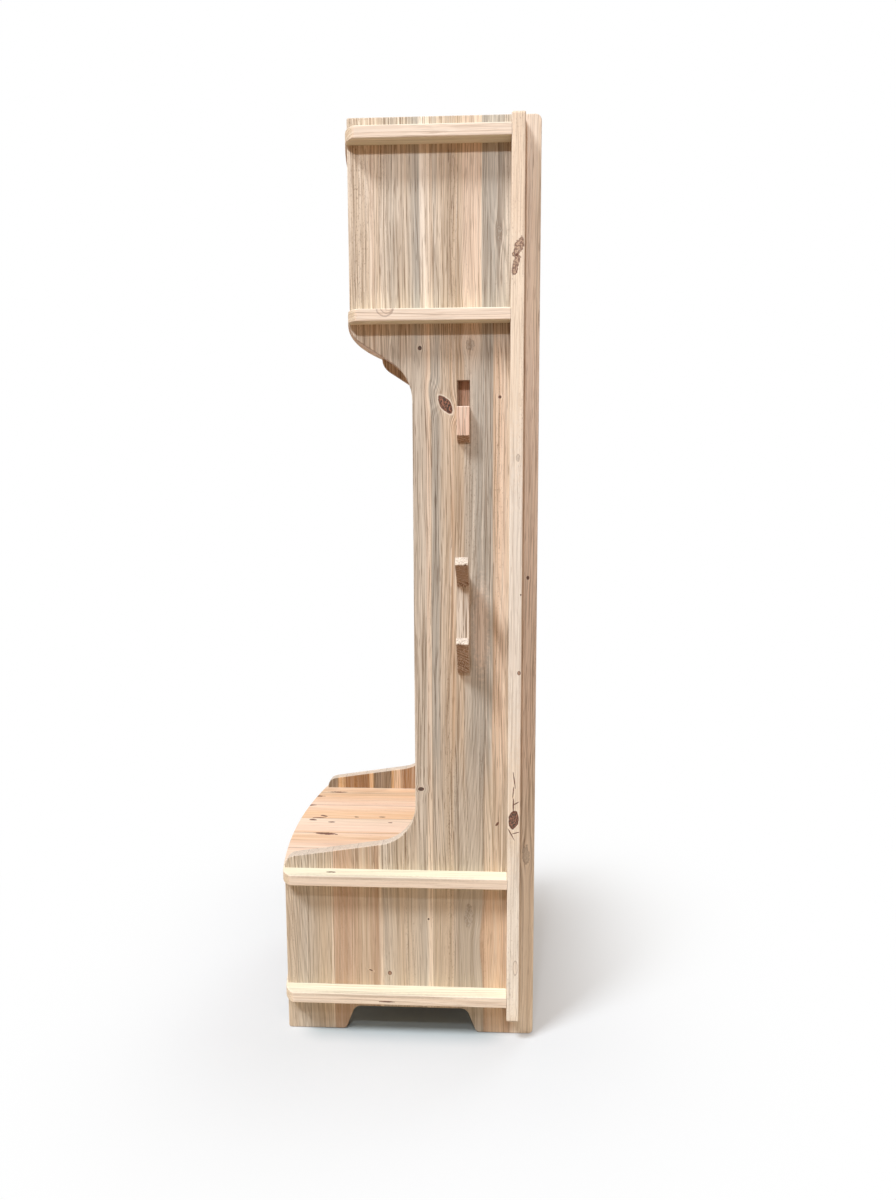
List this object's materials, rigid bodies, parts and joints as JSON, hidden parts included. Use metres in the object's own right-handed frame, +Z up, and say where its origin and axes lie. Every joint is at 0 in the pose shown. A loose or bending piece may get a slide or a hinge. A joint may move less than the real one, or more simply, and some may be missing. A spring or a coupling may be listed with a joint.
{
  "type": "hall stand",
  "caption": "Slot-together wooden hall stand with bench seat, shoe shelf, coat column with drop-in double hooks and an overhead hat cabinet.",
  "frame": {"origin": "on the floor, under the middle of the overall width and depth", "axes": "+Z up, +Y towards the wall behind the stand, +X to the right of a person who faces the stand's front"},
  "size_m": [0.8028, 0.596, 2],
  "materials": {
    "side_board": "planed softwood, clear matt oil",
    "back_board": "planed softwood, clear matt oil",
    "shelf_board": "planed softwood, clear matt oil",
    "seat_board": "planed softwood, clear satin oil",
    "hook_board": "planed softwood, clear matt oil",
    "screw_steel": "zinc plated"
  },
  "bodies": {
    "stand": {"back_panel": "back_board", "side_panel_right": "side_board", "side_panel_left": "side_board", "top_shelf": "shelf_board", "hat_shelf": "shelf_board", "seat_board": "seat_board", "bottom_shelf": "shelf_board", "top_shelf_screws": "screw_steel", "hat_shelf_screws": "screw_steel", "seat_screws": "screw_steel", "bottom_shelf_screws": "screw_steel"},
    "inner_hook_right": {"inner_hook_right": "hook_board"},
    "inner_hook_left": {"inner_hook_left": "hook_board"},
    "outer_hook_right": {"outer_hook_right": "hook_board"},
    "outer_hook_left": {"outer_hook_left": "hook_board"}
  },
  "joints": [
    {"name": "inner_hook_right_lift", "type": "slide", "parent": "stand", "child": "inner_hook_right", "axis": [0, 0, 1], "range_m": [0, 0.055]},
    {"name": "inner_hook_left_lift", "type": "slide", "parent": "stand", "child": "inner_hook_left", "axis": [0, 0, 1], "range_m": [0, 0.055]},
    {"name": "outer_hook_right_lift", "type": "slide", "parent": "stand", "child": "outer_hook_right", "axis": [0, 0, 1], "range_m": [0, 0.055]},
    {"name": "outer_hook_left_lift", "type": "slide", "parent": "stand", "child": "outer_hook_left", "axis": [0, 0, 1], "range_m": [0, 0.055]}
  ]
}
